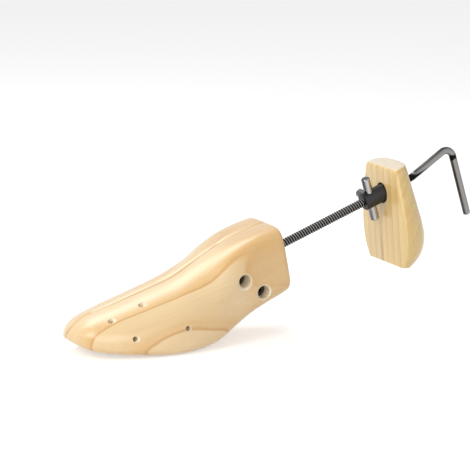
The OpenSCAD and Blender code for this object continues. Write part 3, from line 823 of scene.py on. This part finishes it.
def steel(name, dark, bright, rough, metallic=1.0, thread=None):
    """Oiled steel with faint drawn lines, a painted sheen that lightens the faces turned to the left and
    right, and lighter worn patches.

    A thread has painted shade in its roots and a painted highlight on its crests.
    """
    s = Shader(name)
    along = s.place((INSTEP_LEN, 0, ROD_HEIGHT), (0, -ROD_TILT, 0))
    patch = s.noise(s.stretch(along, (60, 90, 90)), 1.0, 3.0)
    drawn = s.noise(s.stretch(along, (30, 1600, 1600)), 1.0, 2.0)
    normal = s.add("ShaderNodeTexCoord", {})["Normal"]
    # Painted sheen: faces turned to the left or right are painted lighter, standing in for the highlight
    # streak along a rod's middle.
    painted_sheen = s.ramp(s.length(normal, (0, 1, 0)), [(0.5, 0.0), (0.95, 1.0)])
    worn = s.math("MULTIPLY", s.ramp(patch, [(0.4, 0.0), (0.75, 1.0)]), 0.3)
    base = s.mix(s.math("MAXIMUM", painted_sheen, worn), dark, bright)
    if thread:
        # Painted light on the thread: the roots are darkened as painted shade and the crests lightened as
        # painted highlight.
        root, crest = thread
        span = 5.0
        reach = s.length(along, (0, 1000, 1000))
        stops = [(SHANK_D / 2 + 0.15, root), (THREAD_D / 2 - 0.02, crest)]
        colour = s.ramp(s.math("DIVIDE", reach, span), [(r / span, tone) for r, tone in stops])
        base = s.mix(s.math("LESS_THAN", reach, THREAD_D / 2 + 0.2), base, colour)
    s.put(s.surface.inputs["Base Color"], base)
    s.surface.inputs["Metallic"].default_value = metallic
    s.put(s.surface.inputs["Roughness"], s.math("MULTIPLY_ADD", patch, 0.18, rough))
    s.bump(drawn, 0.00002, 0.35)
    return s.material


def bare_wood():
    """Sawn wood without finish, on the walls of the holes."""
    s = Shader("bare_pine")
    fibre = s.noise(s.stretch(s.place(), (400, 400, 400)), 1.0, 3.0)
    sawn = s.ramp(fibre, [(0.3, srgb(244, 224, 190)), (0.7, srgb(255, 244, 222))])
    s.put(s.surface.inputs["Base Color"], sawn)
    s.surface.inputs["Roughness"].default_value = 0.75
    s.surface.inputs["Specular IOR Level"].default_value = 0.3
    s.bump(fibre, 0.00008, 0.4)
    return s.material


def seen_directly(tree):
    """1 for the rays that see the background itself: from the camera, in a mirror or through glass."""
    path = tree.nodes.new("ShaderNodeLightPath")
    total = path.outputs["Is Camera Ray"]
    for kind in ("Is Glossy Ray", "Is Transmission Ray"):
        either = tree.nodes.new("ShaderNodeMath")
        either.operation = "MAXIMUM"
        tree.links.new(total, either.inputs[0])
        tree.links.new(path.outputs[kind], either.inputs[1])
        total = either.outputs[0]
    return total


def backdrop_material():
    """Pale floor that looks white where it is seen, and keeps the object's shadow."""
    s = Shader("backdrop_white")
    s.surface.inputs["Base Color"].default_value = srgb(236, 236, 236)
    s.surface.inputs["Roughness"].default_value = 0.9
    s.surface.inputs["Specular IOR Level"].default_value = 0.1
    s.surface.inputs["Emission Color"].default_value = (1, 1, 1, 1)
    s.put(s.surface.inputs["Emission Strength"], s.math("MULTIPLY", seen_directly(s.tree), FLOOR_GLOW))
    return s.material


def area_light(name, place, target, size, power):
    light = bpy.data.lights.new(name, "AREA")
    light.shape = "RECTANGLE"
    light.size, light.size_y = size
    light.energy = power
    obj = bpy.data.objects.new(name, light)
    obj.location = place
    obj.rotation_euler = (Vector(target) - Vector(place)).to_track_quat("-Z", "Y").to_euler()
    bpy.context.scene.collection.objects.link(obj)


def build_pieces():
    """Makes the materials and the four new shells, and paints the other pieces."""
    forefoot_wood = wood(
        "forefoot_pine",
        light=srgb(244, 215, 168), deep=srgb(236, 197, 138), line=srgb(218, 169, 107),
        end_pale=srgb(238, 208, 162), pith=(0, 14.6, 36.5),
        turn=(0, math.radians(-16.0), math.radians(-3.9)), radii=[6, 13, 22, 41, 56], fine_gap=6.0,
        calm=(42, 62)
    )
    block_wood = wood(
        "heel_pine",
        light=srgb(243, 213, 148), deep=srgb(236, 199, 132), line=srgb(226, 184, 112),
        end_pale=srgb(240, 230, 212), pith=(179.4, 4.5, 75),
        turn=(0, math.radians(-97), 0), radii=[2.2, 9.5, 18.1, 27, 60], fine_gap=2.7,
        streak=0.85, slant=58
    )
    # The thread's two colours are painted shade for its roots and a painted highlight for its crests.
    rod_steel = steel(
        "rod_steel", (0.035, 0.033, 0.032, 1), (0.3, 0.29, 0.28, 1), 0.15,
        thread=((0.01, 0.009, 0.009, 1), (0.2, 0.19, 0.185, 1))
    )
    spoke_steel = steel("spoke_steel", (0.11, 0.11, 0.115, 1), (0.5, 0.5, 0.51, 1), 0.16)
    sleeve_black = steel("sleeve_black", (0.02, 0.018, 0.02, 1), (0.05, 0.05, 0.055, 1), 0.34, 0.7)
    # Painted shade: the plate screws sit deep in the screw holes and are coloured the dark brown of the
    # holes' shade.
    screws_in_painted_shade = steel("screws_in_painted_shade", (0.03, 0.022, 0.016, 1), (0.08, 0.06, 0.045, 1), 0.4)
    bright_steel = steel("bright_steel", (0.42, 0.42, 0.44, 1), (0.6, 0.6, 0.62, 1), 0.28)
    wedge_brass = steel("wedge_brass", (0.55, 0.38, 0.14, 1), (0.74, 0.56, 0.26, 1), 0.3)
    bare = bare_wood()

    left = forefoot_half("left_half_wood", LEFT, forefoot_wood, bare)
    right = forefoot_half("right_half_wood", RIGHT, forefoot_wood, bare)
    made = [
        (left, "left_side", "left_half", "forefoot_wood"),
        (right, "right_side", "right_half", "forefoot_wood"),
        (heel_block("heel_block_wood", block_wood), "heel", "heel_block", "heel_wood"),
        (crank_rod("crank_rod_threaded", rod_steel), "rod", "crank_rod", "rod_steel"),
    ]
    for obj, body, node, slot in made:
        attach(obj, body)
        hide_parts(node)

    plain = {"turning_sleeve": sleeve_black, "wedge": wedge_brass}
    for screws in ("left_plate_screws", "right_plate_screws"):
        plain[screws] = screws_in_painted_shade
    for spoke in ("upper_spoke", "lower_spoke", "far_spoke"):
        plain[spoke] = spoke_steel
    replaced = {node for _, _, node, _ in made}
    for node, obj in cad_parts.items():
        if node not in replaced:
            for slot in obj.material_slots:
                slot.material = plain.get(node, bright_steel)


def build_stage():
    """The white floor, the world and three soft lamps."""
    half = 6
    corners = [(-half, -half, 0), (half, -half, 0), (half, half, 0), (-half, half, 0)]
    floor = bpy.data.meshes.new("floor")
    floor.from_pydata(corners, [], [(0, 1, 2, 3)])
    obj = bpy.data.objects.new("floor", floor)
    bpy.context.scene.collection.objects.link(obj)
    paint(obj, backdrop_material())

    world = bpy.data.worlds.new("studio")
    world.use_nodes = True
    tree = world.node_tree
    strength = tree.nodes.new("ShaderNodeMapRange")
    strength.inputs["To Min"].default_value = SKY
    strength.inputs["To Max"].default_value = 1.0
    tree.links.new(seen_directly(tree), strength.inputs["Value"])
    background = tree.nodes["Background"]
    background.inputs["Color"].default_value = (1, 1, 1, 1)
    tree.links.new(strength.outputs[0], background.inputs["Strength"])
    bpy.context.scene.world = world

    area_light("key", (-1.0, -0.5, 0.9), (0.08, 0, 0.06), (0.7, 0.6), 6.5)
    area_light("fill", (-0.6, -1.35, 0.45), (0.08, 0, 0.06), (1.0, 0.8), 5.5)
    area_light("above", (-0.2, 0.55, 1.1), (0.04, 0, 0.06), (0.8, 0.5), 5)


def build_camera():
    """The photograph's view: from the left half's side, turned towards the toe and slightly from above."""
    azimuth = math.radians(27.0)
    elevation = math.radians(12.5)
    distance = 1.6
    target = Vector((0.055, 0, 0.074))
    right = Vector((math.cos(azimuth), -math.sin(azimuth), 0))
    look = Vector((math.sin(azimuth) * math.cos(elevation), math.cos(azimuth) * math.cos(elevation),
                   -math.sin(elevation)))
    up = right.cross(look)
    data = bpy.data.cameras.new("photo_view")
    data.sensor_width = 36.0
    data.lens = 169.12
    camera = bpy.data.objects.new("photo_view", data)
    turn = Matrix((right, up, -look)).transposed().to_4x4()
    camera.matrix_world = Matrix.Translation(target - distance * look) @ turn
    bpy.context.scene.collection.objects.link(camera)
    bpy.context.scene.camera = camera


build_camera()
build_pieces()
build_stage()
bpy.context.scene.view_settings.view_transform = "Standard"
